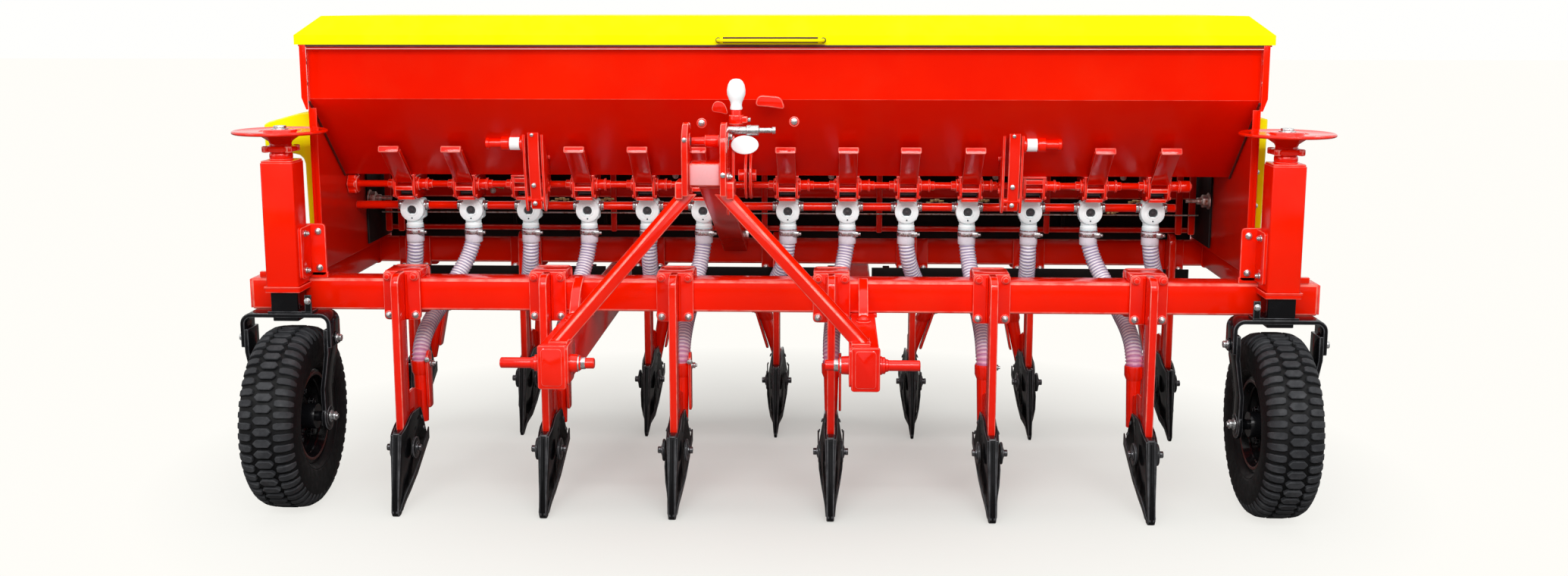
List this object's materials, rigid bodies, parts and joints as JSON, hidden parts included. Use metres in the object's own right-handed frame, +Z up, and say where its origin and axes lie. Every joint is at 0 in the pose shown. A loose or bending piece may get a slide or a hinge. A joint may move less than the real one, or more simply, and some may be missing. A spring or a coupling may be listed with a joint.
{
  "type": "mounted seed drill",
  "caption": "Tractor-mounted seed drill: trough hopper with hinged lid, row of feed outlets and hoses to hoe openers clamped on two bars, and screw-adjusted depth wheels.",
  "frame": {"origin": "bottom centre of the box of the machine without its seed hoses, on the ground", "axes": "+X to the right seen from the tractor, across the rows; +Y to the rear, away from the tractor; +Z up"},
  "size_m": [2.494, 1.177, 1.145],
  "materials": {
    "red_paint": "gloss orange-red enamel on welded steel",
    "yellow_paint": "gloss yellow enamel on sheet steel",
    "black_paint": "gloss black enamel on steel",
    "tyre": "matt black moulded rubber",
    "white_plastic": "white moulded plastic",
    "hose_plastic": "translucent ribbed plastic hose"
  },
  "bodies": {
    "frame": {"front_bar": "red_paint", "rear_bar": "red_paint", "side_member_left": "red_paint", "side_member_right": "red_paint", "hitch_mast": "red_paint", "mast_beam": "red_paint", "mast_brace_left": "red_paint", "mast_brace_right": "red_paint", "hitch_arm_left": "red_paint", "hitch_arm_right": "red_paint", "hopper_front": "red_paint", "hopper_rear": "red_paint", "hopper_floor": "red_paint", "end_plate_left": "red_paint", "end_plate_right": "red_paint", "column_left": "red_paint", "column_right": "red_paint", "handwheel_left": "red_paint", "handwheel_right": "red_paint", "feed_row": "red_paint", "quadrant_left": "red_paint", "quadrant_right": "red_paint", "front_tine_1": "red_paint", "front_tine_2": "red_paint", "front_tine_3": "red_paint", "front_tine_4": "red_paint", "front_tine_5": "red_paint", "front_tine_6": "red_paint", "rear_tine_1": "red_paint", "rear_tine_2": "red_paint", "rear_tine_3": "red_paint", "rear_tine_4": "red_paint", "rear_tine_5": "red_paint", "rear_tine_6": "red_paint", "rear_tine_7": "red_paint", "chain_guard_left": "yellow_paint", "chain_guard_right": "yellow_paint", "outlet_row": "white_plastic", "seed_hose_1": "hose_plastic", "seed_hose_2": "hose_plastic", "seed_hose_3": "hose_plastic", "seed_hose_4": "hose_plastic", "seed_hose_5": "hose_plastic", "seed_hose_6": "hose_plastic", "seed_hose_7": "hose_plastic", "seed_hose_8": "hose_plastic", "seed_hose_9": "hose_plastic", "seed_hose_10": "hose_plastic", "seed_hose_11": "hose_plastic", "seed_hose_12": "hose_plastic", "seed_hose_13": "hose_plastic"},
    "lid": {"lid": "yellow_paint", "lid_handle": "yellow_paint"},
    "leg_left": {"leg_left": "black_paint"},
    "leg_right": {"leg_right": "black_paint"},
    "wheel_left": {"tyre_left": "tyre", "rim_left": "black_paint"},
    "wheel_right": {"tyre_right": "tyre", "rim_right": "black_paint"}
  },
  "joints": [
    {"name": "lid_hinge", "type": "hinge", "parent": "frame", "child": "lid", "pos_m": [0, 0.4825, 1.0807], "axis": [-1, 0, 0], "range_deg": [0, 100]},
    {"name": "leg_left_slide", "type": "slide", "parent": "frame", "child": "leg_left", "axis": [0, 0, 1], "range_m": [-0.12, 0.03]},
    {"name": "leg_right_slide", "type": "slide", "parent": "frame", "child": "leg_right", "axis": [0, 0, 1], "range_m": [-0.12, 0.03]},
    {"name": "wheel_left_spin", "type": "hinge", "parent": "leg_left", "child": "wheel_left", "pos_m": [-1.14, -0.2628, 0.214], "axis": [1, 0, 0], "continuous": true},
    {"name": "wheel_right_spin", "type": "hinge", "parent": "leg_right", "child": "wheel_right", "pos_m": [1.14, -0.2628, 0.214], "axis": [1, 0, 0], "continuous": true}
  ]
}
